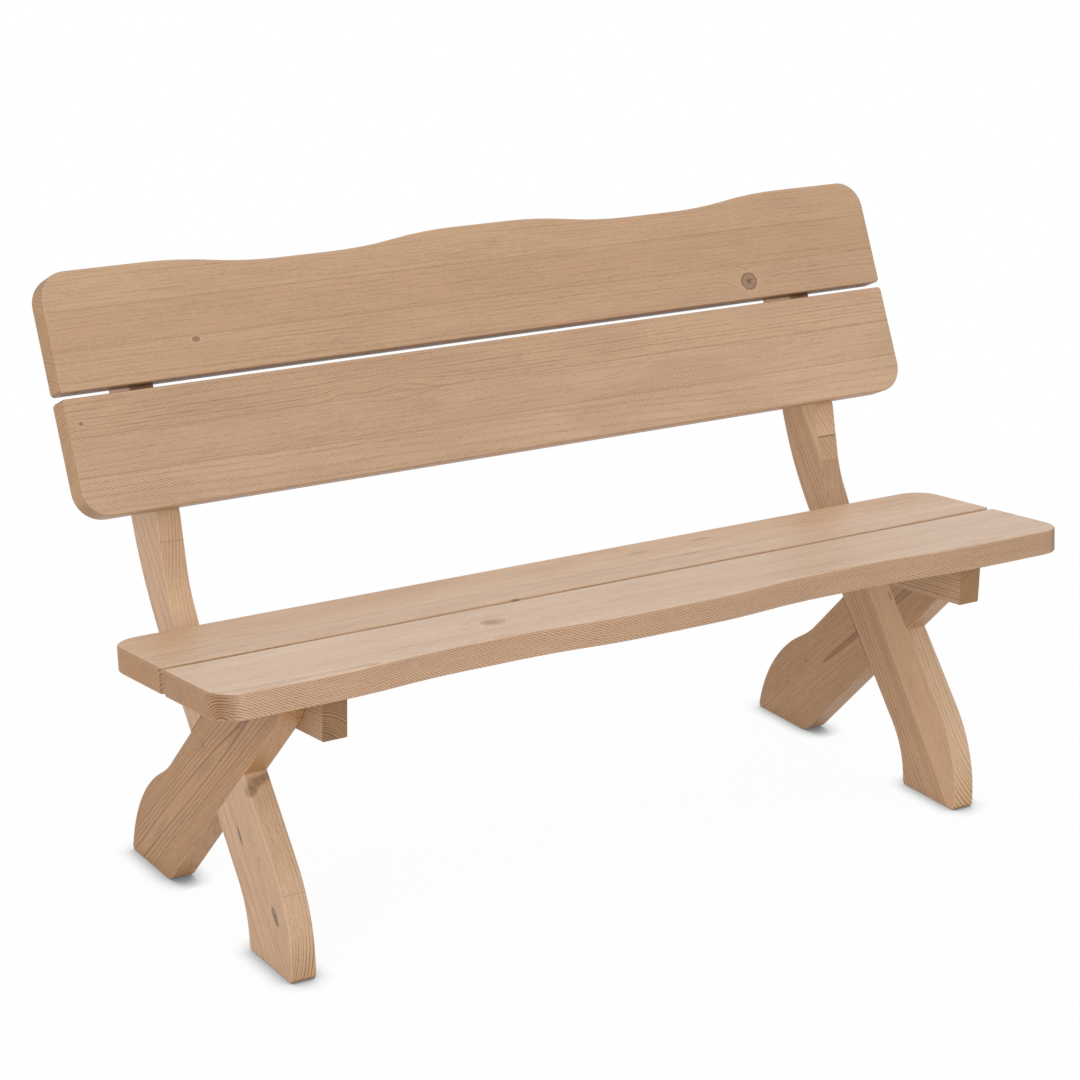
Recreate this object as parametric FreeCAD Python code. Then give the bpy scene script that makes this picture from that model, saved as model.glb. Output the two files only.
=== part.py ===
import FreeCAD, Part
import math
import os
from FreeCAD import Placement, Rotation, Vector

# A plank bench with crossed legs.  All lengths are in millimetres.
# X runs along the bench, +Y points to the back, +Z points up.
# While the pieces are made, y = 0 is the upper front edge of the seat and z = 0 is the ground.
# At the end every piece is moved so that the middle of the footprint is the origin.

# Planks of the seat and the backrest
bench_length = 1500.0
board_width = 177.0
board_thickness = 39.0
board_gap = 9.0
board_arris = 2.0
corner_radius = 44.0
inner_corner_cut = 4.0

# Wave that is sawn into the front edge of the seat and the top edge of the backrest
wave_drop = 16.0
wave_trough_share = 0.42
wave_trough_width = 200.0
wave_slope_run = 110.0
wave_radius = 740.0

# Seat
seat_front_height = 472.0
seat_tilt = 5.9

# Backrest
seat_to_back_run = 59.0
seat_to_back_rise = 166.3
back_lean = 25.5

# End frames: a long leg that carries the backrest, crossed by a short leg
end_overhang = 124.0
leg_thickness = 39.0
leg_width = 127.0
leg_arris = 1.2
lap_share = 0.5
foot_corner_radius = 8.0

# Long leg, from the front foot up to the seat
front_foot_setback = 36.0
front_foot_length = 131.0
front_knee_height = 95.0
front_toe_radius = 250.0
front_heel_lean = 8.0
front_heel_radius = 150.0
shelf_to_seat_rear = 63.5

# Post, the upper part of the long leg
seat_to_post = 21.0
shelf_radius = 12.0
neck_lean = 31.4
neck_radius = 180.0
throat_lean = 14.0
throat_radius = 60.0
post_depth_low = 93.0
post_depth_top = 68.0
post_bend_radius = 600.0
post_top_drop = 27.0
post_top_radius = 18.0

# Short leg, from the rear foot up to the front of the seat
rear_foot_setback = 435.0
rear_foot_length = 135.0
rear_toe_radius = 24.0
nose_setback = 32.7
nose_cut = 27.0
nose_lean = 17.0
nose_radius = 95.0
heel_lean = 9.6
heel_radius = 250.0
bulge_lean = 57.4
bulge_height = 183.0
bulge_radius = 150.0

# Bearers under the seat, on the inner sides of the end frames
bearer_width = 39.0
bearer_height = 61.0
bearer_setback = 25.0
bearer_end_gap = 8.0

# Coach screws
screw_diameter = 6.0
screw_head_width = 10.0
screw_head_height = 4.0
screw_bite = 28.0
screw_clearance = 0.1
seat_screw_shares = (0.25, 0.70)
back_screw_shares = (0.20, 0.62)

# Cuts run past the wood by this much
overrun = 5.0

# Straight that is left between two rounded corners, so that the arris can be taken off
least_straight = 2 * leg_arris

tilt = math.radians(seat_tilt)
lean = math.radians(back_lean)
frame_outer = bench_length / 2 - end_overhang
frame_inner = frame_outer - leg_thickness
seat_depth = 2 * board_width + board_gap
back_height = 2 * board_width + board_gap
second_board = board_width + board_gap

# Directions
along = Vector(1, 0, 0)
seat_back = Vector(0, math.cos(tilt), -math.sin(tilt))
seat_up = Vector(0, math.sin(tilt), math.cos(tilt))
back_up = Vector(0, math.sin(lean), math.cos(lean))
back_rear = Vector(0, math.cos(lean), -math.sin(lean))


def seat_point(depth, below):
    """Point on the seat, depth behind its front edge and so far below its top."""
    return Vector(0, 0, seat_front_height) + seat_back * depth - seat_up * below


def back_point(rise, behind):
    """Point on the backrest, rise above its lower edge and so far behind its front face."""
    low_front = seat_point(seat_depth, 0) + Vector(0, seat_to_back_run, seat_to_back_rise)
    return low_front + back_up * rise + back_rear * behind


def leaning(angle):
    """Upward direction that leans to the back by that angle."""
    return Vector(0, math.sin(angle), math.cos(angle))


def meeting(first, first_direction, second, second_direction):
    """Where two lines of the end frame's plane meet."""
    turn = first_direction.cross(second_direction).x
    way = (second - first).cross(second_direction).x / turn
    return first + first_direction * way


# Lines that the pieces of an end frame share
seat_underside = seat_point(0, board_thickness)

shelf_front = seat_point(seat_depth - shelf_to_seat_rear, board_thickness)
long_front = Vector(0, front_foot_setback, front_knee_height)
long_up = (shelf_front - long_front).normalize()
long_rear = long_front + Vector(0, leg_width / long_up.z, 0)

nose = seat_point(nose_setback, board_thickness)
short_front = Vector(0, rear_foot_setback, 0)
short_up = (nose - short_front).normalize()
short_rear = short_front + Vector(0, leg_width / short_up.z, 0)

post_foot = back_point(0, board_thickness)
post_top_front = back_point(back_height - post_top_drop, board_thickness)
post_top_rear = post_top_front + back_rear * post_depth_top
post_low_rear = post_foot + back_rear * post_depth_low
post_rear_up = (post_top_rear - post_low_rear).normalize()
post_forward = along.cross(post_rear_up)


# Boards

def rounded_outline(corners):
    """Closed outline through corners, each a point and the radius that rounds it."""
    points = [point for point, radius in corners]
    count = len(points)
    before = [points[i - 1] - points[i] for i in range(count)]
    after = [points[(i + 1) % count] - points[i] for i in range(count)]
    halves = [before[i].getAngle(after[i]) / 2 for i in range(count)]
    reaches = [corners[i][1] / math.tan(halves[i]) for i in range(count)]

    # A radius is held to what the sides beside it have room for
    room = [1.0] * count
    for i in range(count):
        j = (i + 1) % count
        space = max(after[i].Length - least_straight, 0)
        fit = space / max(reaches[i] + reaches[j], space)
        room[i] = min(room[i], fit)
        room[j] = min(room[j], fit)

    edges = []
    starts = []
    ends = []
    for i in range(count):
        reach = reaches[i] * room[i]
        to_before = before[i].normalize()
        to_after = after[i].normalize()
        starts.append(points[i] + to_before * reach)
        ends.append(points[i] + to_after * reach)
        if reach > 0:
            radius = reach * math.tan(halves[i])
            inward = (to_before + to_after).normalize()
            middle = points[i] + inward * (radius / math.sin(halves[i]) - radius)
            edges.append(Part.Arc(starts[i], middle, ends[i]).toShape())
    for i in range(count):
        edges.append(Part.LineSegment(ends[i - 1], starts[i]).toShape())
    return Part.Wire(Part.__sortEdges__(edges))


def board(corners, through, arris):
    """Board of that outline and thickness, with the arrises of its two faces taken off."""
    blank = Part.Face(rounded_outline(corners)).extrude(through)
    return blank.makeChamfer(arris, face_edges(blank, through))


def face_edges(blank, through):
    """Edges round the two faces of a blank, which lie square to its thickness."""
    found = []
    for edge in blank.Edges:
        first = edge.valueAt(edge.FirstParameter)
        last = edge.valueAt(edge.LastParameter)
        if abs((last - first).dot(through)) < through.Length:
            found.append(edge)
    return found


def placed(body, origin, y_axis, z_axis):
    """Body moved from its own axes to the given origin and directions."""
    turn = Rotation(y_axis.cross(z_axis), y_axis, z_axis, "ZYX")
    moved = body.copy()
    moved.Placement = Placement(origin, turn).multiply(moved.Placement)
    return moved


# Planks

def wave_corners():
    """Corners of the wave's trough at the right, from the end of the bench inwards."""
    centre = bench_length / 2 * wave_trough_share
    outer = centre + wave_trough_width / 2
    inner = centre - wave_trough_width / 2
    return [
        (outer + wave_slope_run, board_width),
        (outer, board_width - wave_drop),
        (inner, board_width - wave_drop),
        (inner - wave_slope_run, board_width),
    ]


def plank(wavy):
    """Plank whose show face is at z = 0, from its square edge on y = 0 to its shaped edge."""
    end = bench_length / 2
    wave = wave_corners() if wavy else []
    right = [(Vector(x, y, 0), wave_radius) for x, y in wave]
    left = [(Vector(-x, y, 0), wave_radius) for x, y in reversed(wave)]
    corners = [
        (Vector(-end, inner_corner_cut, 0), 0),
        (Vector(inner_corner_cut - end, 0, 0), 0),
        (Vector(end - inner_corner_cut, 0, 0), 0),
        (Vector(end, inner_corner_cut, 0), 0),
        (Vector(end, board_width, 0), corner_radius),
        *right,
        *left,
        (Vector(-end, board_width, 0), corner_radius),
    ]
    return board(corners, Vector(0, 0, -board_thickness), board_arris)


# Legs

def long_leg_corners():
    toe = Vector(0, front_foot_setback, 0)
    heel = toe + Vector(0, front_foot_length, 0)
    heel_knee = meeting(heel, leaning(math.radians(front_heel_lean)), long_rear, long_up)

    shelf_rear = seat_point(seat_depth + seat_to_post, board_thickness)
    throat_angle = math.radians(throat_lean)
    throat = post_foot - back_up * (throat_radius * math.tan((lean - throat_angle) / 2))
    neck_up = leaning(math.radians(neck_lean))
    neck = meeting(shelf_rear, neck_up, throat, leaning(throat_angle))
    bend = meeting(long_rear, long_up, post_low_rear, post_rear_up)
    return [
        (toe, foot_corner_radius),
        (heel, foot_corner_radius),
        (heel_knee, front_heel_radius),
        (bend, post_bend_radius),
        (post_top_rear, post_top_radius),
        (post_top_front, 0),
        (throat, throat_radius),
        (neck, neck_radius),
        (shelf_rear, shelf_radius),
        (shelf_front, 0),
        (long_front, front_toe_radius),
    ]


def short_leg_corners():
    toe = short_front
    heel = toe + Vector(0, rear_foot_length, 0)
    top_rear = meeting(short_rear, short_up, seat_underside, seat_back)
    bulge = meeting(short_rear, short_up, Vector(0, 0, bulge_height), Vector(0, 1, 0))
    heel_up = leaning(-math.radians(heel_lean))
    bulge_up = leaning(-math.radians(bulge_lean))
    heel_knee = meeting(heel, heel_up, bulge, bulge_up)
    nose_top = seat_point(nose_setback + nose_cut, board_thickness)
    nose_knee = meeting(nose_top, leaning(-math.radians(nose_lean)), short_front, short_up)
    return [
        (toe, rear_toe_radius),
        (heel, foot_corner_radius),
        (heel_knee, heel_radius),
        (bulge, bulge_radius),
        (top_rear, 0),
        (nose_top, 0),
        (nose_knee, nose_radius),
    ]


def lap_corners():
    """Lozenge where the two legs cross."""
    low = meeting(long_rear, long_up, short_front, short_up)
    rear = meeting(long_rear, long_up, short_rear, short_up)
    high = meeting(long_front, long_up, short_rear, short_up)
    front = meeting(long_front, long_up, short_front, short_up)
    return [(low, 0), (rear, 0), (high, 0), (front, 0)]


def leg(corners):
    """Leg of the right frame."""
    return board(corners, along * leg_thickness, leg_arris).translated(along * frame_inner)


def lapped_legs():
    """The two legs of the right frame, halved into each other so that their faces are flush."""
    lozenge = Part.Face(rounded_outline(lap_corners()))
    inner_depth = leg_thickness * lap_share
    outer_depth = leg_thickness - inner_depth
    inner_start = lozenge.translated(along * (frame_inner - overrun))
    inner_half = inner_start.extrude(along * (inner_depth + overrun))
    outer_start = lozenge.translated(along * (frame_inner + inner_depth))
    outer_half = outer_start.extrude(along * (outer_depth + overrun))
    return leg(long_leg_corners()).cut(outer_half), leg(short_leg_corners()).cut(inner_half)


# Bearers

def bearer():
    """Batten under the seat, against the inner face of the right frame, with a plumb front end."""
    below = board_thickness + bearer_height
    low_front = seat_point(bearer_setback, below)
    top_front = meeting(low_front, Vector(0, 0, 1), seat_underside, seat_back)
    top_rear = seat_point(seat_depth - bearer_end_gap, board_thickness)
    low_rear = seat_point(seat_depth - bearer_end_gap, below)
    side = Part.Face(Part.makePolygon([low_front, top_front, top_rear, low_rear, low_front]))
    block = side.extrude(along * bearer_width)
    block = block.makeChamfer(leg_arris, [edge for edge in block.Edges if is_lower_long(edge)])
    return block.translated(along * (frame_inner - bearer_width))


def is_lower_long(edge):
    """Whether this edge of a bearer runs from its front to its rear along the underside."""
    start, end = [vertex.Point for vertex in edge.Vertexes]
    half_way = seat_point(0, board_thickness + bearer_height / 2)
    low = max((start - half_way).dot(seat_up), (end - half_way).dot(seat_up)) < 0
    return low and abs((end - start).dot(along)) < leg_arris


# Screws

def screw(length):
    """Coach screw: its head's underside on the origin, its shank towards -Z."""
    corner = screw_head_width / 2 / math.cos(math.radians(30))
    turns = [math.radians(60 * i) for i in range(7)]
    rim = [Vector(corner * math.cos(turn), corner * math.sin(turn), 0) for turn in turns]
    head = Part.Face(Part.makePolygon(rim)).extrude(Vector(0, 0, screw_head_height))
    shank = Part.makeCylinder(screw_diameter / 2, length, Vector(0, 0, 0), Vector(0, 0, -1))
    return head.fuse(shank)


def screw_hole(length):
    """Hole for that screw, which also reaches a little out of the wood."""
    radius = screw_diameter / 2 + screw_clearance
    depth = length + screw_clearance + overrun
    return Part.makeCylinder(radius, depth, Vector(0, 0, overrun), Vector(0, 0, -1))


def aimed(body, head, direction):
    """Screw or hole whose head is seated at head, pointing along direction."""
    moved = body.copy()
    moved.Placement = Placement(head, Rotation(Vector(0, 0, -1), direction))
    return moved


def fasten(length, heads, direction):
    """Screws of one length and their holes, with their heads at those places."""
    screws = [aimed(screw(length), head, direction) for head in heads]
    holes = [aimed(screw_hole(length), head, direction) for head in heads]
    return screws, holes


def seat_screw_depths():
    """How far behind the seat's front edge its screws are, two to each plank."""
    return [start + board_width * share
            for start in (0, second_board) for share in seat_screw_shares]


def seat_fixings():
    """Screws up through the right bearer into the seat planks."""
    across = along * (frame_inner - bearer_width / 2)
    below = board_thickness + bearer_height
    heads = [seat_point(depth, below) + across for depth in seat_screw_depths()]
    return fasten(bearer_height + screw_bite, heads, seat_up)


def back_fixings(start):
    """Screws forward through the right post, two into the back plank that begins at start."""
    across = along * (frame_outer - leg_thickness / 2)
    heads = []
    woods = []
    for share in back_screw_shares:
        level = back_point(start + board_width * share, 0)
        head = meeting(level, back_rear, post_low_rear, post_rear_up)
        woods.append((head - post_foot).dot(back_rear) / -post_forward.dot(back_rear))
        heads.append(head + across)
    return fasten(min(woods) + screw_bite, heads, post_forward)


def bearer_fixings():
    """Screws through the right bearer, one into the short leg and one into the long leg.

    They pass midway between the seat's screws, and between the last of those and the bearer's end.
    """
    depths = seat_screw_depths()
    bearer_end = seat_depth - bearer_end_gap
    across = along * (frame_inner - bearer_width)
    below = board_thickness + bearer_height / 2
    heads = [seat_point((front + rear) / 2, below) + across
             for front, rear in ((depths[1], depths[2]), (depths[3], bearer_end))]
    return fasten(bearer_width + screw_bite, heads, along)


# Whole bench

def mirror(body):
    """The same piece at the other end of the bench."""
    return body.mirror(Vector(0, 0, 0), along)


def both_ends(bodies):
    return bodies + [mirror(body) for body in bodies]


def drilled(body, holes):
    return body.cut(Part.makeCompound(holes))


def build():
    """All pieces by name."""
    long_leg, short_leg = lapped_legs()
    seat_screws, seat_holes = seat_fixings()
    bearer_screws, bearer_holes = bearer_fixings()
    low_screws, low_holes = back_fixings(0)
    top_screws, top_holes = back_fixings(second_board)

    long_leg = drilled(long_leg, bearer_holes + low_holes + top_holes)
    short_leg = drilled(short_leg, bearer_holes)
    right_bearer = drilled(bearer(), bearer_holes + seat_holes)

    seat_front = placed(plank(True), seat_point(board_width, 0), seat_back * -1, seat_up)
    seat_rear = placed(plank(False), seat_point(second_board, 0), seat_back, seat_up)
    back_low = placed(plank(False), back_point(board_width, 0), back_up * -1, back_rear * -1)
    back_top = placed(plank(True), back_point(second_board, 0), back_up, back_rear * -1)

    return {
        "seat_plank_front": drilled(seat_front, both_ends(seat_holes)),
        "seat_plank_rear": drilled(seat_rear, both_ends(seat_holes)),
        "back_plank_lower": drilled(back_low, both_ends(low_holes)),
        "back_plank_upper": drilled(back_top, both_ends(top_holes)),
        "right_long_leg": long_leg,
        "left_long_leg": mirror(long_leg),
        "right_short_leg": short_leg,
        "left_short_leg": mirror(short_leg),
        "right_bearer": right_bearer,
        "left_bearer": mirror(right_bearer),
        "seat_screws": Part.makeCompound(both_ends(seat_screws)),
        "bearer_screws": Part.makeCompound(both_ends(bearer_screws)),
        "lower_back_screws": Part.makeCompound(both_ends(low_screws)),
        "upper_back_screws": Part.makeCompound(both_ends(top_screws)),
    }


def centred(pieces):
    """Pieces moved so that the middle of the footprint is at y = 0."""
    box = Part.makeCompound(list(pieces.values())).optimalBoundingBox(False)
    shift = Vector(0, -(box.YMin + box.YMax) / 2, 0)
    return {name: body.translated(shift) for name, body in pieces.items()}


def main():
    os.makedirs("parts", exist_ok=True)
    for name, body in centred(build()).items():
        body.exportStep(os.path.join("parts", name + ".step"))


main()
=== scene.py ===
import math

import bmesh
import bpy
from mathutils import Matrix, Vector


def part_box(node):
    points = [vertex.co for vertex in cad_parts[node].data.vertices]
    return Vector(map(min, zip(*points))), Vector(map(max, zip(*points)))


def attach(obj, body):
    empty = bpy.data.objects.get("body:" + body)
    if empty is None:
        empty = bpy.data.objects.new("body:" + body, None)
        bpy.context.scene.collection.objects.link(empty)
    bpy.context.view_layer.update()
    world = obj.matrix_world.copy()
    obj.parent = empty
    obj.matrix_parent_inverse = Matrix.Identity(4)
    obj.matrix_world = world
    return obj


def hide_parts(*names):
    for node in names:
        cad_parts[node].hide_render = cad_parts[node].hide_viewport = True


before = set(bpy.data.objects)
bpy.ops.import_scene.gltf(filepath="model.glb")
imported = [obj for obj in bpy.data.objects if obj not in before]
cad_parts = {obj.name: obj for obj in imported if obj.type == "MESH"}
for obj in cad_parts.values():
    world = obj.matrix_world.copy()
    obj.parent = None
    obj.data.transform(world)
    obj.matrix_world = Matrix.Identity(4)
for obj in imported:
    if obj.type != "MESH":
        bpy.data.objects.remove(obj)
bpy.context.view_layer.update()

MM = 0.001

# Directions of the boards, and of the ripples on them, in degrees
seat_tilt = 5.9
back_lean = 25.5
long_leg_grain = 52.5
short_leg_grain = -43.4
hatch_turn = 27.0

# Arrises: what rounds off each chamfer of the frame, and which edges stay sharp
plank_rounding = 1.1 * MM
leg_rounding = 0.65 * MM
rounding_steps = 3
chamfer_angles = (36, 54)
widest_chamfer = 3.2 * MM
weld_distance = 0.02 * MM
flat_angle = 0.6
board_sharp_angle = 33
screw_sharp_angle = 25
flat_face_weight = 60

# Each plank is glued up from equal strips, and each strip is a way on in the noise
strip_width = 59.0
beyond_board = 199.0
strip_shift = 7.3

# Colours of the wood
light_wood = (0.552, 0.350, 0.213)
dark_wood = (0.312, 0.172, 0.092)
# Painted sheen: the pale colour that tops blend towards, as a painted reflection
painted_sheen_wood = (0.690, 0.543, 0.420)
knot_wood = (0.195, 0.104, 0.054)
crack_wood = (0.075, 0.040, 0.022)
end_tint = (0.84, 0.715, 0.51)
end_line_wood = (0.150, 0.085, 0.045)
corner_tint = (0.76, 0.74, 0.71)
short_leg_tint = (0.72, 0.625, 0.50)
bearer_tint = (0.86, 0.85, 0.78)
plain = (1.0, 1.0, 1.0)
# Rounded arrises: partly wear, partly a painted highlight
arris_wear_and_highlight_tint = (1.1, 1.1, 1.1)
halo_tint = (1.08, 1.08, 1.08)
heart_tint = (1.15, 1.15, 1.15)
rim_tint = (0.70, 0.68, 0.66)

# Sizes in the noise, in mm: how long along the board, how wide across and through it
wander_size = (330.0, 70.0)
fibre_size = (55.0, 1.7)
pore_size = (8.0, 0.9)
cloud_size = (170.0, 34.0)
hatch_place_size = (210.0, 60.0)

# Other lengths in the wood, in mm
years_run = 17.0
years_push = 11.0
mark_depth = 12.0
drift_reach = 700.0
# How far the edge of the painted sheen wanders across the board
sheen_wander = 90.0

# How far from its middle a glue line or a seam starts to show, and shows in full, in mm
glue_reach = (0.9, 0.2)
seam_reach = (1.8, 0.6)

# Faces that carry the marks, in mm from the middle of the board: the top or the front of a
# plank, and the left of a leg
plank_face = 19.5
leg_face = -19.5

# How strongly each mark shows in the colour of the wood
fibre_show = 1.25
pore_show = 1.05
ripple_show = 0.25
wood_level = 0.10
end_line_show = 0.3
glue_show = 0.60
# The arris mark is partly wear, partly a painted highlight
arris_wear_and_highlight_show = 0.18
halo_show = 0.25
heart_show = 0.80
rim_show = 0.85
crack_show = 0.75
split_show = 0.85

# Latewood: it starts, and is full, at these multiples of its share before the year's end. It goes
# from this part of the year on, and the faintest years keep this much of it.
late_start = 1.7
late_full = 0.5
late_end = 0.94
faintest_year = 0.4

# Knots, in shares of their radius: where each part starts to show, and shows in full
heart_edge = (1.02, 0.92)
rim_outside = (1.14, 1.03)
rim_inside = (0.86, 0.97)
halo_edge = (2.2, 1.2)
pith_edge = (0.42, 0.10)
crack_ends = (0.86, 0.60)
crack_width = (0.11, 0.03)

# Shape of the knots: their own rings and cracks, how long they run through the board, how
# uneven they are, and how strongly and how widely they push the board's rings aside
knot_turns = 26.0
knot_turn_show = 0.22
cracks_around = 5
crack_waver = 4.0
knot_through = 0.35
knot_waver = 0.30
knot_push = 1.5
knot_push_fall = 0.20

# Splits and patches, in shares of their size: where they start to show and show in full, and
# how uneven they are
mark_edge = (1.15, 0.55)
mark_waver = 0.8

# How far a surface has to face one way, as a cosine, to start to count and to count in full: as
# end grain, as a rounded end (and no more as one), as a narrow face, as turned up for the painted sheen
end_facing = (0.30, 0.85)
slant_facing = (0.15, 0.50)
slant_past = (0.99, 0.80)
narrow_facing = (0.40, 0.85)
top_facing = (0.55, 0.95)

# How little of a narrow face a surface has to be for glue lines to start to show on it, and to
# show in full
glue_facing = (0.6, 0.1)

# Ripples: how unevenly they run, where the brush left them and how faint they are elsewhere,
# and how much of them end grain loses
ripple_waver = 3.0
brushed_places = (0.38, 0.62)
unbrushed_share = 0.15
end_smoothness = 0.85

# Painted sheen, a painted reflection on the tops: lines darker than this stay, this strongly, and knots
# stay from this strength on
sheen_spare_level = 0.3
sheen_spare_lines = 1.1
sheen_spare_knots = (0.22, 0.04)

# Relief and gloss of the wood
relief = 0.4 * MM
relief_strength = 0.5
line_relief = 0.35
fibre_relief = 0.65
pore_relief = 0.35
ripple_relief = 0.20
split_relief = 3.0
wood_roughness = 0.42
fibre_roughness = 0.14
late_gloss = 0.05
wood_ior = 1.5

# Zinc on the screws
zinc_light = (0.62, 0.62, 0.60)
zinc_dark = (0.44, 0.45, 0.47)
zinc_dull = (0.36, 0.34, 0.30)
dull_places = (0.60, 0.75)
zinc_roughness = 0.30
bloom_roughness = 0.25
zinc_relief = 0.1 * MM
zinc_relief_strength = 0.25
grain_relief = 0.5
bloom_scale = 340.0
grain_scale = 2600.0

# Coach screws
screw_head = 4.0 * MM
screw_sides = 24
flange_share = 1.12
bare_share = 0.35
thread_pitch = 2.4 * MM
thread_crest = 0.97
thread_core = 0.72
thread_turn = ((0.45, thread_core), (0.75, thread_core), (1.0, thread_crest))
point_share = 0.08
end_depth = 0.5 * MM

# Camera: where it stands, which way it looks, and its lens
camera_place = (-2.29971, -3.51908, 1.87557)
camera_yaw = 32.7241
camera_pitch = -18.416
camera_roll = 1.1446
focal_length = 95.121
sensor_width = 36.0

# Light
sky_level = 0.78
floor_size = 60.0
contact_reach = 0.034
floor_shadow_share = 0.035
shadow_fades = (1.2, 2.6)
contact_shades = ((0.0, 0.10), (0.42, 0.28), (0.66, 0.66), (0.88, 0.95), (1.0, 1.0))
floor_paint = (0.86, 0.86, 0.86)
lamp_target = (0.0, 0.0, 0.4)


def unit(y, z):
    return Vector((0.0, y, z)).normalized()


def plank_axes(lean):
    """Along, across and through a plank that leans by this angle from lying flat."""
    a = math.radians(lean)
    return Vector((1, 0, 0)), unit(math.cos(a), -math.sin(a)), unit(math.sin(a), math.cos(a))


def back_axes(lean):
    """Along, up and out of the front of a plank that leans back by this angle from upright."""
    a = math.radians(lean)
    return Vector((1, 0, 0)), unit(math.sin(a), math.cos(a)), unit(-math.cos(a), math.sin(a))


def leg_axes(rise):
    """Along, across and through a leg whose grain rises by this angle towards the back."""
    a = math.radians(rise)
    return unit(math.cos(a), math.sin(a)), unit(-math.sin(a), math.cos(a)), Vector((1, 0, 0))


SEAT = plank_axes(seat_tilt)
BACK = back_axes(back_lean)
LONG = leg_axes(long_leg_grain)
SHORT = leg_axes(short_leg_grain)
ACROSS = (SEAT[1], Vector((1, 0, 0)), SEAT[2])


class Graph:
    """A node tree with short calls for the nodes that the materials use."""

    def __init__(self, tree):
        self.tree = tree

    def put(self, socket, value):
        if isinstance(value, bpy.types.NodeSocket):
            self.tree.links.new(value, socket)
        else:
            socket.default_value = value

    def node(self, kind, inputs=(), **settings):
        made = self.tree.nodes.new(kind)
        for name, value in settings.items():
            setattr(made, name, value)
        for key, value in dict(inputs).items():
            self.put(made.inputs[key], value)
        return made

    def math(self, operation, *values, clamp=False):
        made = self.node("ShaderNodeMath", enumerate(values), operation=operation, use_clamp=clamp)
        return made.outputs[0]

    def vector(self, operation, *values, scale=1.0):
        made = self.node("ShaderNodeVectorMath", enumerate(values), operation=operation)
        if operation == "SCALE":
            self.put(made.inputs["Scale"], scale)
        return made.outputs["Value" if operation in ("LENGTH", "DOT_PRODUCT") else "Vector"]

    def add(self, a, b):
        return self.math("ADD", a, b)

    def times(self, a, b):
        return self.math("MULTIPLY", a, b)

    def combine(self, x, y, z):
        return self.node("ShaderNodeCombineXYZ", {0: x, 1: y, 2: z}).outputs[0]

    def stretch(self, u, v, w, size, shift_u=0.0, shift_w=0.0):
        """The point, measured in steps of this length along the board and width across it."""
        along, across = size
        return self.combine(self.add(self.math("DIVIDE", u, along), shift_u),
                            self.math("DIVIDE", v, across),
                            self.add(self.math("DIVIDE", w, across), shift_w))

    def swing(self, noise, size):
        """The noise around zero, times this size."""
        return self.times(self.math("SUBTRACT", noise, 0.5), size)

    def split(self, vector):
        return self.node("ShaderNodeSeparateXYZ", {0: vector}).outputs

    def noise(self, vector, scale=1.0, detail=2.0, roughness=0.5):
        return self.node("ShaderNodeTexNoise", {"Vector": vector, "Scale": scale, "Detail": detail,
                                                "Roughness": roughness})

    def step(self, value, start, end, low=0.0, high=1.0):
        made = self.node("ShaderNodeMapRange", {"Value": value, "From Min": start, "From Max": end,
                                                "To Min": low, "To Max": high},
                         interpolation_type="SMOOTHSTEP")
        return made.outputs[0]

    def ramp(self, value, *stops):
        made = self.node("ShaderNodeValToRGB", {0: value})
        points = made.color_ramp.elements
        while len(points) < len(stops):
            points.new(0.5)
        for point, (place, level) in zip(points, stops):
            point.position = place
            point.color = (level, level, level, 1.0)
        return made.outputs[0]

    def blend(self, share, a, b):
        """A number between two others."""
        return self.node("ShaderNodeMix", {0: share, 2: a, 3: b}).outputs[0]

    def blend_vectors(self, share, a, b):
        """A vector between two others."""
        return self.node("ShaderNodeMix", {0: share, 4: a, 5: b}, data_type="VECTOR").outputs[1]

    def mix(self, share, a, b, blend="MIX"):
        """A colour between two others, or blended in another way."""
        made = self.node("ShaderNodeMix", data_type="RGBA", blend_type=blend)
        self.put(made.inputs[0], share)
        self.put(made.inputs[6], a)
        self.put(made.inputs[7], b)
        return made.outputs[2]

    def tinted(self, share, tone, tint):
        """The tone, multiplied by the tint over this share."""
        return self.mix(share, tone, self.mix(1.0, tone, tint, blend="MULTIPLY"))

    def surface(self, kind, shader):
        """The tree's output node, with that shader on it."""
        self.node(kind, {"Surface": shader.outputs[0]})


def color(rgb, tint=plain):
    return (rgb[0] * tint[0], rgb[1] * tint[1], rgb[2] * tint[2], 1.0)


def new_material(name):
    made = bpy.data.materials.new(name)
    made.use_nodes = True
    made.node_tree.nodes.clear()
    return made, Graph(made.node_tree)


def place(name, data):
    """A new object with that data, in the scene."""
    made = bpy.data.objects.new(name, data)
    bpy.context.scene.collection.objects.link(made)
    return made


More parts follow.
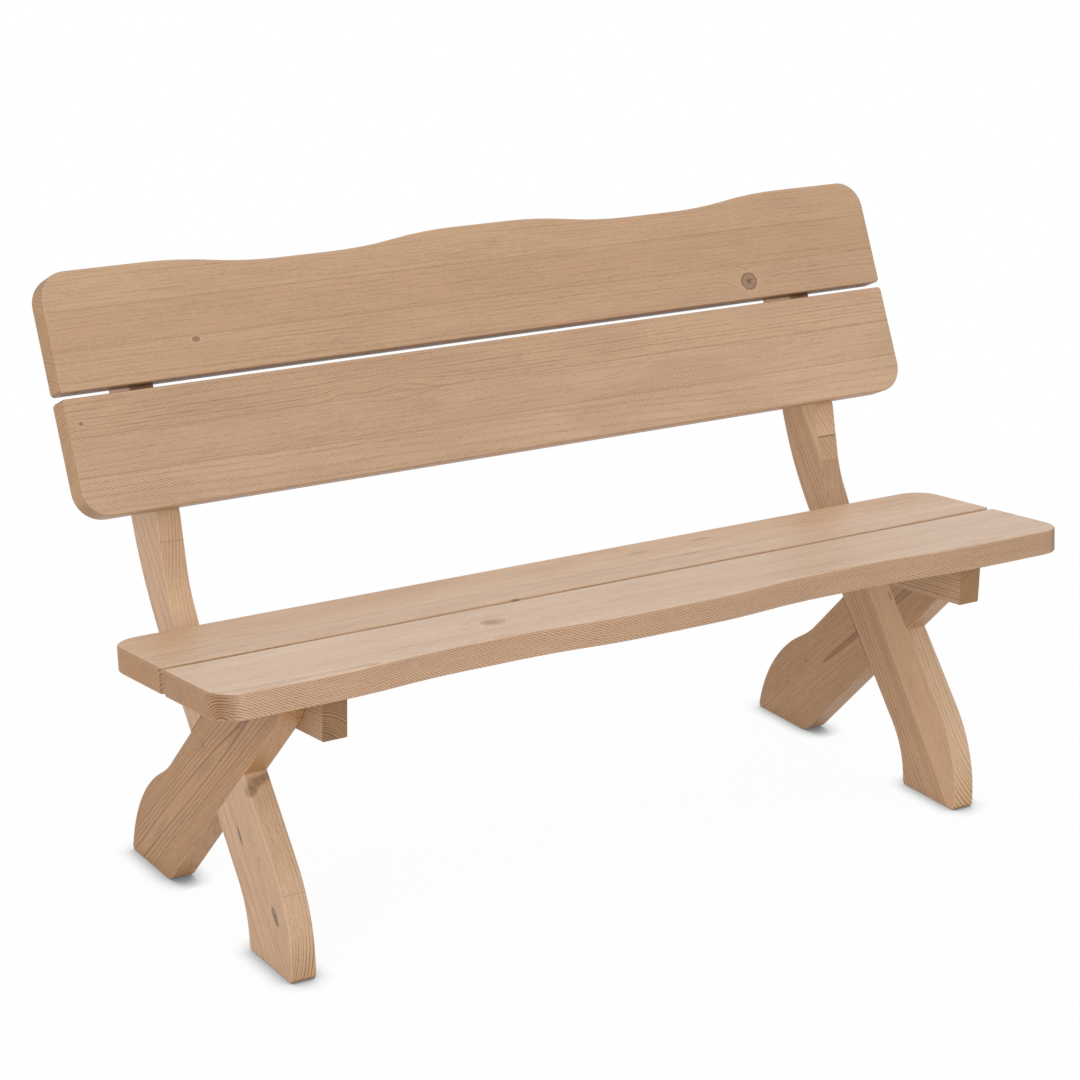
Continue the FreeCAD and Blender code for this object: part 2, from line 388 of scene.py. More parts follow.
def growth_rings():
    """Group: from a point in a board and its pith line, in mm, to the share of dark latewood."""
    tree = bpy.data.node_groups.new("growth_rings", "ShaderNodeTree")
    face = tree.interface
    for name in ("Point", "Pith"):
        face.new_socket(name, in_out="INPUT", socket_type="NodeSocketVector")
    for name in ("Seed", "Spacing", "Share", "Slope", "Warp", "Bulge"):
        face.new_socket(name, in_out="INPUT", socket_type="NodeSocketFloat")
    face.new_socket("Latewood", in_out="OUTPUT", socket_type="NodeSocketFloat")
    g = Graph(tree)
    given = g.node("NodeGroupInput").outputs
    u, v, w = g.split(given["Point"])
    own, pith_v, pith_w = g.split(given["Pith"])

    # Slow wander of the trunk along its length
    far = g.stretch(u, v, w, wander_size, own, given["Seed"])
    wander = g.vector("SUBTRACT", g.noise(far, detail=2.5, roughness=0.45).outputs["Color"],
                      (0.5, 0.5, 0.5))
    warp_v, warp_w, _ = g.split(g.vector("SCALE", wander, scale=given["Warp"]))
    dv = g.add(g.math("SUBTRACT", v, pith_v), warp_v)
    dw = g.add(g.add(g.math("SUBTRACT", w, pith_w), warp_w), g.times(u, given["Slope"]))
    radius = g.add(g.vector("LENGTH", g.combine(0.0, dv, dw)), given["Bulge"])

    # Wide and narrow years
    years = g.noise(g.combine(g.math("DIVIDE", radius, years_run), given["Seed"], own), detail=1.0)
    radius = g.add(radius, g.times(years.outputs[0], years_push))
    count = g.math("DIVIDE", radius, given["Spacing"])
    year = g.math("FRACT", count)

    # Latewood comes up slowly and ends sharply
    start = g.math("SUBTRACT", 1.0, g.times(given["Share"], late_start))
    full = g.math("SUBTRACT", 1.0, g.times(given["Share"], late_full))
    late = g.times(g.step(year, start, full), g.step(year, 1.0, late_end))

    # Some years leave a darker line than others
    which = g.combine(g.math("FLOOR", count), given["Seed"], own)
    chance = g.node("ShaderNodeTexWhiteNoise", {"Vector": which}, noise_dimensions="3D")
    depth = g.add(g.times(chance.outputs["Value"], 1.0 - faintest_year), faintest_year)
    out = g.node("NodeGroupOutput")
    g.put(out.inputs["Latewood"], g.times(late, depth))
    return tree


def knot_marks():
    """Group: one knot's heart, rim, cracks and halo at a point, and how it pushes the rings aside."""
    tree = bpy.data.node_groups.new("knot", "ShaderNodeTree")
    face = tree.interface
    for name in ("Point", "Centre"):
        face.new_socket(name, in_out="INPUT", socket_type="NodeSocketVector")
    for name in ("Radius", "Long"):
        face.new_socket(name, in_out="INPUT", socket_type="NodeSocketFloat")
    for name in ("Heart", "Rim", "Cracks", "Halo", "Bulge"):
        face.new_socket(name, in_out="OUTPUT", socket_type="NodeSocketFloat")
    g = Graph(tree)
    given = g.node("NodeGroupInput").outputs
    away = g.vector("SUBTRACT", given["Point"], given["Centre"])
    u, v, w = g.split(away)
    rough = g.noise(given["Point"], scale=0.22, detail=2.0).outputs[0]
    stretched = g.math("DIVIDE", u, given["Long"])
    flat = g.vector("LENGTH", g.combine(stretched, v, g.times(w, knot_through)))
    size = g.math("DIVIDE", flat, given["Radius"])
    share = g.add(size, g.swing(rough, knot_waver))
    bell = g.math("EXPONENT", g.times(g.times(size, size), -knot_push_fall))

    # Fine rings in the heart, and cracks that run out from its middle
    turns = g.math("SINE", g.times(share, knot_turns))
    angle = g.math("ARCTAN2", v, stretched)
    bent = g.add(g.times(angle, cracks_around / 2.0), g.times(rough, crack_waver))
    spoke = g.math("ABSOLUTE", g.math("SINE", bent))
    thin = g.step(g.times(spoke, size), *crack_width)
    heart = g.step(share, *heart_edge)
    ringed = g.add(1.0 - knot_turn_show, g.times(turns, knot_turn_show))
    out = g.node("NodeGroupOutput")
    g.put(out.inputs["Heart"], g.times(heart, ringed))
    g.put(out.inputs["Rim"], g.times(g.step(share, *rim_outside), g.step(share, *rim_inside)))
    spokes = g.times(thin, g.step(size, *crack_ends))
    g.put(out.inputs["Cracks"], g.math("MAXIMUM", spokes, g.step(share, *pith_edge)))
    g.put(out.inputs["Halo"], g.times(g.step(share, *halo_edge), g.math("SUBTRACT", 1.0, heart)))
    g.put(out.inputs["Bulge"], g.times(bell, g.times(given["Radius"], knot_push)))
    return tree


RINGS = growth_rings()
KNOT = knot_marks()


def split_mark(g, point, centre, half_long, half_wide, turn, waver):
    """1 inside a slit, resin pocket or dark patch that lies on the board at this place."""
    a = math.radians(turn)
    du, dv, dw = g.split(g.vector("SUBTRACT", point, centre))
    x = g.add(g.times(du, math.cos(a)), g.times(dv, math.sin(a)))
    y = g.math("SUBTRACT", g.times(dv, math.cos(a)), g.times(du, math.sin(a)))
    size = g.vector("LENGTH", g.combine(g.math("DIVIDE", x, half_long), g.math("DIVIDE", y, half_wide),
                                        g.math("DIVIDE", dw, mark_depth)))
    size = g.add(size, g.swing(waver, mark_waver))
    return g.step(size, *mark_edge)


def wood(name, axes, seed, strips, spacing=4.0, share=0.40, slope=0.012, warp=14.0, tint=plain,
         side_tint=plain, dark_tint=plain, corners=1.0, contrast=0.40, side_lines=1.0,
         end_contrast=2.50, hatch=(0.9, 1.6), hatch_gap=3.4, painted_sheen=(0.0, 0.0, 0.0), cloudy=0.50,
         drift=(), knots=(), swells=(), splits=(), patches=(), blocks=()):
    """Brushed softwood for one board, worked out from the board's own coordinates in mm.

    strips: where each ends across the board, where its pith runs (across, through), how strong its
    lines are on the wide faces, and its tint.
    spacing, share, slope, warp: width of a year, its share of dark latewood, how much the pith
    slopes through the board, and how far it wanders.
    tint, side_tint, dark_tint: of the whole board, its narrow faces and its dark wood.
    corners: how much of the darker tint the rounded ends get.
    contrast, side_lines, end_contrast: strength of the lines on the wide faces, how much of it
    the narrow faces get, and its strength on end grain.
    hatch, hatch_gap: ripples of the brush on the wide and the narrow faces, and their distance.
    bleach: whitens what faces up as a painted reflection, from one place across the board to another,
    by a share.
    cloudy: strength of the clouds in the colour.
    drift: tints at the board's two ends along u, with a smooth change between them.
    knots, swells: centre, radius, length and strength. Both push the rings aside, and swells have
    no strength because they show no heart.
    splits, patches: centre, half length, half width, turn, and for patches how dark they are.
    blocks: from this u on, the narrow faces are another length of wood, with a seam and a tint.
    """
    made, g = new_material(name)
    point = g.node("ShaderNodeAttribute", attribute_name="grain").outputs["Vector"]
    arris = g.node("ShaderNodeAttribute", attribute_name="arris").outputs["Fac"]
    normal = g.node("ShaderNodeNewGeometry").outputs["Normal"]
    u, v, w = g.split(point)

    # Glued strips, each from its own part of a trunk
    pith, strip_tint, drawn, glue = None, None, 1.0, 0.0
    for number, (edge, pith_v, pith_w, own_lines, own_tint) in enumerate(strips):
        own = (strip_shift * number, pith_v, pith_w)
        if number == 0:
            pith, strip_tint, drawn = own, g.combine(*own_tint), own_lines
        else:
            over = g.math("GREATER_THAN", v, start)
            pith = g.blend_vectors(over, pith, own)
            strip_tint = g.blend_vectors(over, strip_tint, own_tint)
            drawn = g.blend(over, drawn, own_lines)
            gap = g.math("ABSOLUTE", g.math("SUBTRACT", v, start))
            glue = g.math("MAXIMUM", glue, g.step(gap, *glue_reach))
        start = edge

    bulge, hearts, rims, cracks, halos = 0.0, 0.0, 0.0, 0.0, 0.0
    for centre, radius, length, strength in list(knots) + [swell + (0.0,) for swell in swells]:
        mark = g.node("ShaderNodeGroup", node_tree=KNOT)
        g.put(mark.inputs["Point"], point)
        mark.inputs["Centre"].default_value = centre
        mark.inputs["Radius"].default_value = radius
        mark.inputs["Long"].default_value = length
        bulge = g.add(bulge, mark.outputs["Bulge"])
        if strength > 0.0:
            hearts, rims, cracks, halos = (
                g.math("MAXIMUM", so_far, g.times(mark.outputs[kind], strength))
                for so_far, kind in ((hearts, "Heart"), (rims, "Rim"), (cracks, "Cracks"),
                                     (halos, "Halo")))

    rings = g.node("ShaderNodeGroup", node_tree=RINGS)
    for key, value in {"Point": point, "Pith": pith, "Seed": seed, "Spacing": spacing,
                       "Share": share, "Slope": slope, "Warp": warp, "Bulge": bulge}.items():
        g.put(rings.inputs[key], value)
    late = rings.outputs["Latewood"]

    # How much of this place is end grain, a rounded end, a narrow side, or turned up
    facing = [g.math("ABSOLUTE", g.vector("DOT_PRODUCT", normal, tuple(axis))) for axis in axes]
    end = g.step(facing[0], *end_facing)
    slant = g.times(g.step(facing[0], *slant_facing), g.step(facing[0], *slant_past))
    narrow = g.step(facing[1], *narrow_facing)
    top = g.step(g.split(normal)[2], *top_facing)

    # Fibres, long pores and cloudy patches
    fibres = g.noise(g.stretch(u, v, w, fibre_size), detail=3.0, roughness=0.7).outputs[0]
    pores = g.noise(g.stretch(u, v, w, pore_size), detail=1.5).outputs[0]
    clouds = g.noise(g.stretch(u, v, w, cloud_size, shift_w=seed), detail=3.0).outputs[0]

    # Slanting ripples that the saw and the brush left, stronger in places
    turn = math.radians(hatch_turn)
    across = g.add(g.times(u, math.sin(turn)), g.times(g.add(v, w), math.cos(turn)))
    wave = g.add(g.math("DIVIDE", across, hatch_gap), g.times(clouds, ripple_waver))
    ripple = g.math("SINE", g.times(wave, 2.0 * math.pi))
    brushed = g.noise(g.stretch(u, v, w, hatch_place_size, shift_w=seed + 5.0), detail=1.0)
    left_by_brush = g.step(brushed.outputs[0], *brushed_places, low=unbrushed_share)
    strength = g.blend(narrow, g.times(left_by_brush, hatch[0]), hatch[1])
    off_end = g.math("SUBTRACT", 1.0, g.times(end, end_smoothness))
    ripple = g.times(ripple, g.times(strength, off_end))

    # Colour
    drawn = g.times(g.blend(narrow, drawn, side_lines), contrast)
    level = g.times(late, g.blend(end, drawn, end_contrast))
    for part in (g.swing(fibres, fibre_show), g.swing(pores, pore_show),
                 g.times(ripple, ripple_show), g.swing(clouds, cloudy), wood_level):
        level = g.add(level, part)
    dark = tuple(a * b for a, b in zip(tint, dark_tint))
    tone = g.mix(level, color(light_wood, tint), color(dark_wood, dark))
    tone = g.mix(1.0, tone, strip_tint, blend="MULTIPLY")
    # Painted sheen: a painted reflection of the white surroundings whitens what faces up, and spares
    # dark lines and knots
    if painted_sheen[2] > 0.0:
        here = g.add(v, g.swing(clouds, sheen_wander))
        sheen_share = g.times(g.step(here, painted_sheen[0], painted_sheen[1]), g.times(top, painted_sheen[2]))
        darker = g.math("SUBTRACT", level, sheen_spare_level)
        sheen_share = g.math("SUBTRACT", sheen_share, g.times(darker, g.times(sheen_share, sheen_spare_lines)))
        sheen_share = g.times(sheen_share, g.step(g.math("MAXIMUM", hearts, rims), *sheen_spare_knots))
        tone = g.mix(sheen_share, tone, color(painted_sheen_wood))
    tone = g.tinted(end, tone, color(end_tint))
    end_lines = g.times(g.times(end, late), end_line_show * end_contrast)
    tone = g.mix(end_lines, tone, color(end_line_wood))
    tone = g.tinted(g.times(slant, corners), tone, color(corner_tint))
    tone = g.tinted(narrow, tone, color(side_tint))
    if drift:
        along = g.step(u, -drift_reach, drift_reach)
        tone = g.mix(1.0, tone, g.mix(along, color(drift[0]), color(drift[1])), blend="MULTIPLY")
    if len(strips) > 1:
        seen = g.times(glue, g.step(narrow, *glue_facing, high=glue_show))
        tone = g.mix(seen, tone, color(dark_wood, tint))
    # Rounded arrises lighter: partly wear, partly a painted highlight of the light they catch
    tone = g.mix(g.times(arris, arris_wear_and_highlight_show), tone, color(light_wood, arris_wear_and_highlight_tint))
    if knots:
        tone = g.mix(g.times(halos, halo_show), tone, color(light_wood, halo_tint))
        tone = g.mix(g.times(hearts, heart_show), tone, color(knot_wood, heart_tint))
        tone = g.mix(g.times(rims, rim_show), tone, color(knot_wood, rim_tint))
        tone = g.mix(g.times(cracks, crack_show), tone, color(crack_wood))
    for *patch, depth in patches:
        mark = split_mark(g, point, *patch, fibres)
        tone = g.mix(g.times(mark, depth), tone, color(knot_wood))
    for from_u, seam_depth, lift in blocks:
        inside = g.times(narrow, g.math("GREATER_THAN", u, from_u))
        tone = g.tinted(inside, tone, color(lift))
        seam = g.step(g.math("ABSOLUTE", g.math("SUBTRACT", u, from_u)), *seam_reach)
        tone = g.mix(g.times(g.times(seam, narrow), seam_depth), tone, color(knot_wood))
    deep = 0.0
    for split in splits:
        deep = g.math("MAXIMUM", deep, split_mark(g, point, *split, fibres))
    if splits:
        tone = g.mix(g.times(deep, split_show), tone, color(crack_wood))

    # Relief: brushed wood keeps its hard latewood proud
    height = g.add(g.times(late, line_relief), g.times(fibres, fibre_relief))
    height = g.add(height, g.times(pores, pore_relief))
    height = g.add(height, g.times(ripple, ripple_relief))
    if splits:
        height = g.math("SUBTRACT", height, g.times(deep, split_relief))
    bump = g.node("ShaderNodeBump", {"Strength": relief_strength, "Distance": relief,
                                     "Height": height})

    rough = g.add(wood_roughness, g.times(fibres, fibre_roughness))
    rough = g.math("SUBTRACT", rough, g.times(late, late_gloss))
    shader = g.node("ShaderNodeBsdfPrincipled", {"Base Color": tone, "Roughness": rough,
                                                 "Normal": bump.outputs[0]})
    shader.inputs["IOR"].default_value = wood_ior
    g.surface("ShaderNodeOutputMaterial", shader)
    return made


def zinc_steel():
    """Bright zinc on steel, with a crystal bloom, dull patches and fine grains."""
    made, g = new_material("zinc_steel")
    point = g.node("ShaderNodeNewGeometry").outputs["Position"]
    bloom = g.noise(point, scale=bloom_scale, detail=4.0, roughness=0.6).outputs[0]
    grains = g.noise(point, scale=grain_scale, detail=2.0).outputs[0]
    tone = g.mix(bloom, color(zinc_light), color(zinc_dark))
    tone = g.mix(g.step(bloom, *dull_places), tone, color(zinc_dull))
    rough = g.add(zinc_roughness, g.times(bloom, bloom_roughness))
    bump = g.node("ShaderNodeBump", {"Strength": zinc_relief_strength, "Distance": zinc_relief,
                                     "Height": g.add(bloom, g.times(grains, grain_relief))})
    shader = g.node("ShaderNodeBsdfPrincipled", {"Base Color": tone, "Roughness": rough,
                                                 "Normal": bump.outputs[0]})
    shader.inputs["Metallic"].default_value = 1.0
    g.surface("ShaderNodeOutputMaterial", shader)
    return made


def chamfer_edges(bm):
    low, high = (math.radians(a) for a in chamfer_angles)
    return [e for e in bm.edges if len(e.link_faces) == 2 and low < e.calc_face_angle(0.0) < high]


def board(node, axes, rounding, material):
    """The node's solid again as its own piece, with rounded arrises and its board coordinates."""
    name = node + "_wood"
    bm = bmesh.new()
    bm.from_mesh(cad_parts[node].data)
    bmesh.ops.remove_doubles(bm, verts=bm.verts, dist=weld_distance)
    bmesh.ops.dissolve_limit(bm, angle_limit=math.radians(flat_angle), verts=bm.verts,
                             edges=bm.edges)
    soft = bm.faces.layers.float.new("arris")
    edges = chamfer_edges(bm)
    for edge in edges:
        for f in edge.link_faces:
            near = sum(1 for e in f.edges if e in edges)
            if near > 1 and f.calc_area() < widest_chamfer * max(e.calc_length() for e in f.edges):
                f[soft] = 1.0
    grown = bmesh.ops.bevel(bm, geom=edges, offset=rounding, segments=rounding_steps, profile=0.5,
                            affect="EDGES", clamp_overlap=False)
    for f in grown["faces"]:
        f[soft] = 1.0
    mesh = bpy.data.meshes.new(name)
    bm.to_mesh(mesh)
    bm.free()
    centre = sum(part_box(node), Vector()) / 2
    grain = mesh.attributes.new("grain", "FLOAT_VECTOR", "POINT")
    for vertex, item in zip(mesh.vertices, grain.data):
        away = vertex.co - centre
        item.vector = [away.dot(axis) / MM for axis in axes]
    mesh.shade_smooth()
    mesh.set_sharp_from_angle(angle=math.radians(board_sharp_angle))
    mesh.materials.append(material)
    piece = place(name, mesh)
    weigh = piece.modifiers.new("flat faces stay flat", "WEIGHTED_NORMAL")
    weigh.keep_sharp = True
    weigh.weight = flat_face_weight
    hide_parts(node)
    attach(piece, "root")


def boards():
    """Every board, with its own wood."""
    first, second, last = -strip_width / 2.0, strip_width / 2.0, beyond_board
    specs = {
        "back_plank_upper": dict(
            axes=BACK, slot="planks", seed=3.0, hatch=(0.85, 1.0), spacing=5.6, share=0.26, warp=10.0,
            # Painted shade: side_tint darkens and browns both narrow faces, for the lower edge that
            # lies in shade
            end_contrast=0.7, side_tint=(0.90, 0.84, 0.76),
            drift=((0.95, 0.95, 0.93), (0.99, 0.98, 0.96)),
            strips=[
                (first, -150.0, -40.0, 0.9, (0.98, 0.98, 0.99)),
                (second, 130.0, -60.0, 0.55, (0.965, 0.95, 0.925)),
                (last, 170.0, 40.0, 0.7, (1.0, 1.005, 1.01)),
            ],
            knots=[
                ((482.8, -58.5, plank_face), 13.5, 1.1, 0.95),
                ((-522.5, -35.4, plank_face), 3.8, 1.5, 1.0),
            ],
            swells=[
                ((-26.0, 64.0, plank_face), 7.0, 2.0),
                ((-327.0, 60.0, plank_face), 7.0, 2.0),
                ((544.0, 48.0, plank_face), 7.0, 2.0),
            ],
        ),
        "back_plank_lower": dict(
            axes=BACK, slot="planks", seed=11.0, hatch=(2.1, 1.0), spacing=6.5, share=0.24,
            contrast=0.55, warp=11.0, end_contrast=0.7, side_tint=(0.90, 0.84, 0.76),
            # Painted shade: side_tint darkens and browns both narrow faces, for the lower edge that
            # lies in shade
            drift=((0.92, 0.92, 0.92), (1.06, 1.08, 1.10)),
            strips=[
                (first, -130.0, -90.0, 0.7, (1.06, 1.10, 1.14)),
                (second, -110.0, 120.0, 0.45, (1.01, 1.02, 1.05)),
                (last, 220.0, -40.0, 1.0, plain),
            ],
            knots=[((-727.8, 49.6, plank_face), 2.8, 1.1, 1.0)],
            swells=[
                ((-209.6, 34.0, plank_face), 10.0, 2.4),
                ((496.0, 1.4, plank_face), 5.0, 3.0),
                ((-300.8, 36.0, plank_face), 7.0, 2.0),
            ],
            patches=[((-164.4, 2.6, plank_face), 30.0, 12.0, 0.0, 0.10)],
        ),
        "seat_plank_front": dict(
            axes=SEAT, slot="planks", seed=23.0, hatch=(0.35, 2.6), cloudy=0.65, contrast=0.38,
            # Painted sheen over the whole top
            side_tint=(1.03, 1.05, 1.08), painted_sheen=(400.0, 300.0, 0.62),
            drift=((1.04, 1.03, 1.04), (0.98, 0.95, 0.92)),
            strips=[
                (first, -72.0, -34.0, 1.0, plain),
                (second, 106.0, -90.0, 1.0, plain),
                (last, 160.0, 60.0, 1.0, (0.98, 0.98, 0.98)),
            ],
            knots=[((-264.5, 7.4, plank_face), 14.5, 1.2, 0.17)],
            patches=[
                ((-300.0, 24.0, plank_face), 9.0, 2.2, 10.0, 0.5),
                ((-268.0, 8.0, plank_face), 14.0, 11.0, 0.0, 0.32),
                ((-190.0, -18.0, plank_face), 10.0, 1.8, 0.0, 0.40),
            ],
        ),
        "seat_plank_rear": dict(
            axes=SEAT, slot="planks", seed=37.0, hatch=(0.35, 1.0), cloudy=0.65, contrast=0.60,
            # Painted sheen, strongest towards the front edge of the top
            painted_sheen=(110.0, -60.0, 0.38), drift=((1.0, 1.0, 0.99), (1.06, 1.08, 1.10)),
            strips=[
                (first, -140.0, -60.0, 1.0, (1.09, 1.08, 1.05)),
                (second, -90.0, 70.0, 1.0, (1.09, 1.04, 0.95)),
                (last, 162.0, -46.0, 1.0, (1.12, 1.10, 1.06)),
            ],
            swells=[((235.0, 0.0, plank_face), 8.0, 3.0), ((-640.0, 50.0, plank_face), 8.0, 2.5)],
            patches=[
                ((131.0, 32.0, plank_face), 24.0, 7.0, 0.0, 0.30),
                ((259.0, 41.0, plank_face), 26.0, 4.0, 4.0, 0.45),
                ((192.0, -26.0, plank_face), 24.0, 3.5, 4.0, 0.45),
                ((235.0, 9.4, plank_face), 16.0, 2.5, 3.0, 0.40),
                ((269.5, -64.1, plank_face), 16.0, 2.5, 0.0, 0.40),
                ((-171.0, -87.5, plank_face), 9.0, 2.0, 0.0, 0.70),
                ((-640.0, -62.0, plank_face), 60.0, 7.0, 3.0, 0.16),
            ],
        ),
        "left_long_leg": dict(
            axes=LONG, slot="legs", seed=45.0, hatch=(0.5, 0.7), contrast=0.55, spacing=4.6, share=0.26,
            corners=0.0, cloudy=0.35, side_tint=(1.20, 1.28, 1.32), dark_tint=(0.9, 0.88, 0.86),
            side_lines=0.85,
            strips=[
                (-45.0, -110.0, 120.0, 1.0, (1.02, 1.01, 0.99)),
                (last, 30.0, -160.0, 0.6, (0.98, 0.97, 0.96)),
            ],
            knots=[((-442.7, -11.9, leg_face), 5.6, 2.3, 1.25)],
            swells=[((-380.0, 0.0, leg_face), 8.0, 3.0)],
            splits=[((-310.2, -46.5, leg_face), 17.0, 3.0, 3.0)],
            patches=[
                ((-442.7, -11.9, leg_face), 20.0, 8.5, 0.0, 0.35),
                ((-266.0, 25.0, -17.0), 9.0, 14.0, 20.0, 0.55),
                ((-256.0, 25.0, -8.0), 11.0, 14.0, 20.0, 0.45),
                ((-253.0, 25.0, 2.0), 8.0, 14.0, 10.0, 0.50),
                ((-249.0, 25.0, 14.0), 6.0, 14.0, 10.0, 0.50),
            ],
            blocks=[(-424.0, 0.22, plain), (135.0, 0.30, (1.03, 1.03, 1.03))],
        ),
        "right_long_leg": dict(
            axes=LONG, slot="legs", seed=63.0, hatch=(0.6, 1.7), hatch_gap=2.6, side_lines=0.55,
            contrast=1.0, spacing=4.6, share=0.28, corners=0.0, cloudy=0.35,
            side_tint=(1.18, 1.28, 1.42), dark_tint=(0.92, 0.9, 0.88), warp=7.0, slope=0.008,
            strips=[
                (-38.0, -200.0, 110.0, 1.0, (0.98, 0.945, 0.87)),
                (last, 160.0, 120.0, 0.30, (1.15, 1.15, 1.09)),
            ],
            knots=[((-175.7, 13.2, leg_face), 3.6, 2.0, 0.6)],
            blocks=[(-60.0, 0.0, (0.84, 0.81, 0.78)), (126.0, 0.75, (1.24, 1.28, 1.31))],
        ),
        "left_short_leg": dict(
            axes=SHORT, slot="legs", seed=49.0, hatch=(0.25, 0.5), contrast=1.35, side_lines=0.30,
            spacing=3.9, share=0.21, slope=0.004, warp=6.0, tint=short_leg_tint,
            dark_tint=(0.90, 0.76, 0.52), corners=0.0, side_tint=(1.16, 1.15, 1.08),
            strips=[(last, 6.0, 12.0, 1.0, (1.06, 1.03, 0.91))],
            splits=[((-37.5, 38.0, leg_face), 7.5, 1.5, -60.0)],
            patches=[
                ((-25.0, 10.0, leg_face), 46.0, 8.5, 3.0, 0.28),
                ((205.0, 4.0, leg_face), 46.0, 5.0, -4.0, 0.26),
            ],
        ),
        "right_short_leg": dict(
            axes=SHORT, slot="legs", seed=67.0, hatch=(0.25, 0.5), contrast=0.95, side_lines=0.35,
            spacing=3.8, share=0.16, slope=-0.004, warp=7.0, tint=short_leg_tint,
            dark_tint=(0.90, 0.79, 0.58), corners=0.0, side_tint=(1.05, 1.05, 1.02),
            strips=[(last, 2.0, 8.0, 1.0, (1.15, 1.23, 1.31))],
            patches=[
                ((154.7, 27.1, leg_face), 3.0, 2.6, 0.0, 0.95),
                ((225.8, 21.0, leg_face), 3.0, 2.6, 0.0, 0.95),
            ],
        ),
        "left_bearer": dict(
            axes=ACROSS, slot="bearers", seed=71.0, spacing=3.2, share=0.45, warp=4.0, tint=bearer_tint,
            contrast=0.9, end_contrast=2.0, corners=0.0,
            strips=[(last, -30.0, -60.0, 1.0, plain)],
        ),
        "right_bearer": dict(
            axes=ACROSS, slot="bearers", seed=83.0, spacing=3.2, share=0.45, warp=4.0, tint=bearer_tint,
            contrast=0.9, end_contrast=1.8, corners=0.0,
            strips=[(last, 40.0, -50.0, 1.0, (1.16, 1.18, 1.19))],
        ),
    }
    for node, spec in specs.items():
        slot = spec.pop("slot")
        rounding = plank_rounding if slot == "planks" else leg_rounding
        board(node, spec["axes"], rounding, wood("wood_" + node, **spec))


def islands(bm):
    """The separate solids of a mesh, each as a list of its vertices."""
    left, found = dict.fromkeys(bm.verts), []
    while left:
        queue, part = [left.popitem()[0]], []
        while queue:
            vertex = queue.pop()
            part.append(vertex)
            for edge in vertex.link_edges:
                other = edge.other_vert(vertex)
                if other in left:
                    del left[other]
                    queue.append(other)
        found.append(part)
    return found


def coach_screw(bm, start, axis, length, across, radius):
    """Hex head with a flange and a chamfered crown, then a shank with a cut thread and a point."""
    side = axis.orthogonal().normalized()
    other = axis.cross(side)

    def ring(depth, size, hexagon):
        made = []
        for i in range(screw_sides):
            a = 2.0 * math.pi * i / screw_sides
            reach = size
            if hexagon:
                within = (a % (math.pi / 3.0)) - math.pi / 6.0
                reach = size * math.cos(math.pi / 6.0) / math.cos(within)
            made.append(bm.verts.new(start + axis * depth
                                     + side * (reach * math.cos(a)) + other * (reach * math.sin(a))))
        return made

    # Rings along the screw: how deep, how wide, and whether it is a hexagon
    corner = across / math.cos(math.pi / 6.0) / 2.0
    flange = corner * flange_share
    profile = [(0.0, across * 0.30, False), (0.3 * MM, across * 0.44, False), (0.8 * MM, corner, True),
               (screw_head - 1.1 * MM, corner, True), (screw_head - 0.8 * MM, corner * 1.02, False),
               (screw_head - 0.2 * MM, flange, False), (screw_head, flange, False),
               (screw_head, radius, False)]
    depth = screw_head + bare_share * (length - screw_head)
    profile.append((depth, radius * thread_crest, False))
    while depth + 2.0 * thread_pitch < length:
        for part, reach in thread_turn:
            profile.append((depth + part * thread_pitch, radius * reach, False))
        depth += thread_pitch
    profile.append((length, radius * point_share, False))
    rings = [ring(*row) for row in profile]
    for first, second in zip(rings, rings[1:]):
        for i in range(screw_sides):
            j = (i + 1) % screw_sides
            bm.faces.new((first[i], first[j], second[j], second[i]))
    bm.faces.new(reversed(rings[0]))
    bm.faces.new(rings[-1])


def screws(node, direction, steel):
    """Detailed coach screws in the places of the node's plain ones."""

    def reach(ends):
        """How far those points are from the screw's line."""
        return max((p - middle - axis * (p - middle).dot(axis)).length for p in ends)

    source = bmesh.new()
    source.from_mesh(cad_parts[node].data)
    bmesh.ops.remove_doubles(source, verts=source.verts, dist=weld_distance)
    bm = bmesh.new()
    for part in islands(source):
        points = [vertex.co.copy() for vertex in part]
        centre = sum(points, Vector()) / len(points)
        axis = direction(centre)
        depths = [p.dot(axis) for p in points]
        low, high = min(depths), max(depths)
        base = [p for p, d in zip(points, depths) if d - low < end_depth]
        middle = sum(base, Vector()) / len(base)
        wide = reach(base)
        tip = [p for p, d in zip(points, depths) if high - d < end_depth]
        thin = reach(tip)
        coach_screw(bm, middle, axis, high - low, wide * 2.0 * math.cos(math.pi / 6.0), thin)
    source.free()
    bmesh.ops.recalc_face_normals(bm, faces=bm.faces)
    mesh = bpy.data.meshes.new(node + "_steel")
    bm.to_mesh(mesh)
    bm.free()
    mesh.shade_smooth()
    mesh.set_sharp_from_angle(angle=math.radians(screw_sharp_angle))
    mesh.materials.append(steel)
    piece = place(node + "_steel", mesh)
    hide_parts(node)
    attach(piece, "root")


def all_screws():
    steel = zinc_steel()
    screws("seat_screws", lambda centre: SEAT[2], steel)
    screws("bearer_screws", lambda centre: Vector((math.copysign(1.0, centre.x), 0, 0)), steel)
    screws("lower_back_screws", lambda centre: BACK[2], steel)
    screws("upper_back_screws", lambda centre: BACK[2], steel)


def seen_directly(g):
    """1 for what the camera sees itself, in a mirror or through glass, else 0."""
    path = g.node("ShaderNodeLightPath").outputs
    both = g.add(path["Is Camera Ray"], path["Is Glossy Ray"])
    return g.math("ADD", both, path["Is Transmission Ray"], clamp=True)


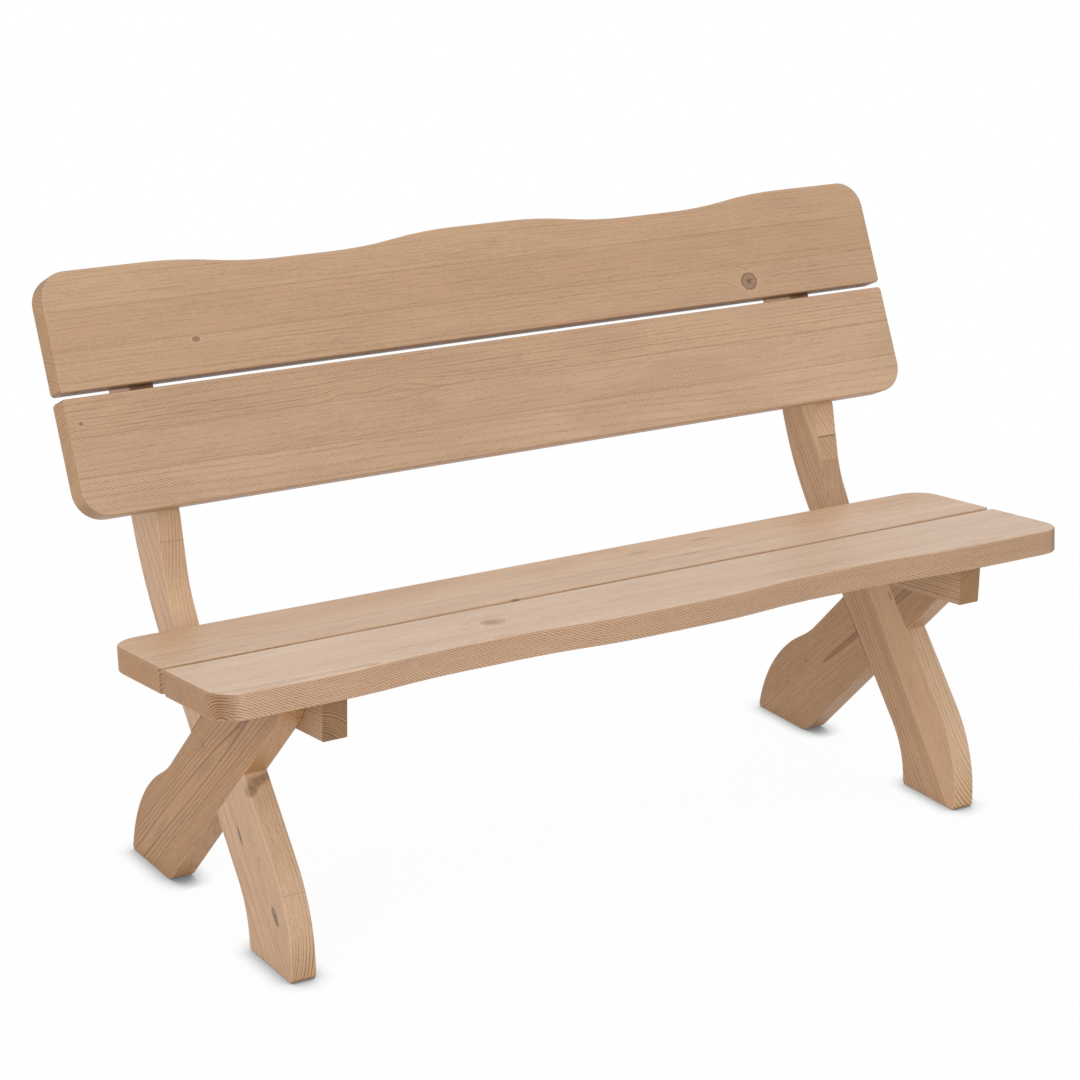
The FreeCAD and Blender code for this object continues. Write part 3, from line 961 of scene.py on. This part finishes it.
def floor():
    half = floor_size / 2.0
    mesh = bpy.data.meshes.new("floor")
    mesh.from_pydata([(-half, -half, 0), (half, -half, 0), (half, half, 0), (-half, half, 0)], [],
                     [(0, 1, 2, 3)])
    made, g = new_material("white_floor")
    near = g.node("ShaderNodeAmbientOcclusion", {"Distance": contact_reach}, samples=6)
    shade = g.ramp(near.outputs["AO"], *contact_shades)
    glow = g.node("ShaderNodeEmission", {"Color": shade, "Strength": 1.0})
    paint = g.node("ShaderNodeBsdfDiffuse", {"Color": color(floor_paint)})
    far = g.vector("LENGTH", g.node("ShaderNodeNewGeometry").outputs["Position"])
    real = g.step(far, *shadow_fades, low=floor_shadow_share, high=0.0)
    share = g.times(seen_directly(g), g.math("SUBTRACT", 1.0, real))
    both = g.node("ShaderNodeMixShader", {0: share, 1: paint.outputs[0], 2: glow.outputs[0]})
    g.surface("ShaderNodeOutputMaterial", both)
    mesh.materials.append(made)
    place("floor", mesh)


def sky():
    world = bpy.data.worlds.new("white_room")
    world.use_nodes = True
    world.node_tree.nodes.clear()
    g = Graph(world.node_tree)
    strength = g.add(g.times(seen_directly(g), 1.0 - sky_level), sky_level)
    back = g.node("ShaderNodeBackground", {"Color": color(plain), "Strength": strength})
    g.surface("ShaderNodeOutputWorld", back)
    bpy.context.scene.world = world


def lamp(name, spot, size, power):
    light = bpy.data.lights.new(name, "AREA")
    light.shape = "RECTANGLE"
    light.size, light.size_y = size
    light.energy = power
    made = place(name, light)
    made.location = spot
    aim = Vector(lamp_target) - Vector(spot)
    made.rotation_euler = aim.to_track_quat("-Z", "Y").to_euler()


def lamps():
    lamp("key_left", spot=(-4.0, -2.6, 2.9), size=(2.6, 2.6), power=42.0)
    lamp("low_left", spot=(-3.9, -2.4, 0.8), size=(2.2, 1.2), power=26.0)
    lamp("top", spot=(0.3, -0.4, 4.2), size=(3.2, 2.4), power=24.0)


def camera():
    yaw, pitch, roll = (math.radians(a) for a in (camera_yaw, camera_pitch, camera_roll))
    look = Vector((math.sin(yaw) * math.cos(pitch), math.cos(yaw) * math.cos(pitch), math.sin(pitch)))
    level = Vector((math.cos(yaw), -math.sin(yaw), 0.0))
    up = level.cross(look)
    right = level * math.cos(roll) + up * math.sin(roll)
    top = up * math.cos(roll) - level * math.sin(roll)
    data = bpy.data.cameras.new("camera")
    data.lens = focal_length
    data.sensor_width = sensor_width
    data.clip_end = 200.0
    made = place("camera", data)
    turn = Matrix((right, top, -look)).transposed().to_4x4()
    made.matrix_world = Matrix.Translation(Vector(camera_place)) @ turn
    bpy.context.scene.camera = made


camera()
boards()
all_screws()
floor()
sky()
lamps()
bpy.context.scene.view_settings.view_transform = "Standard"
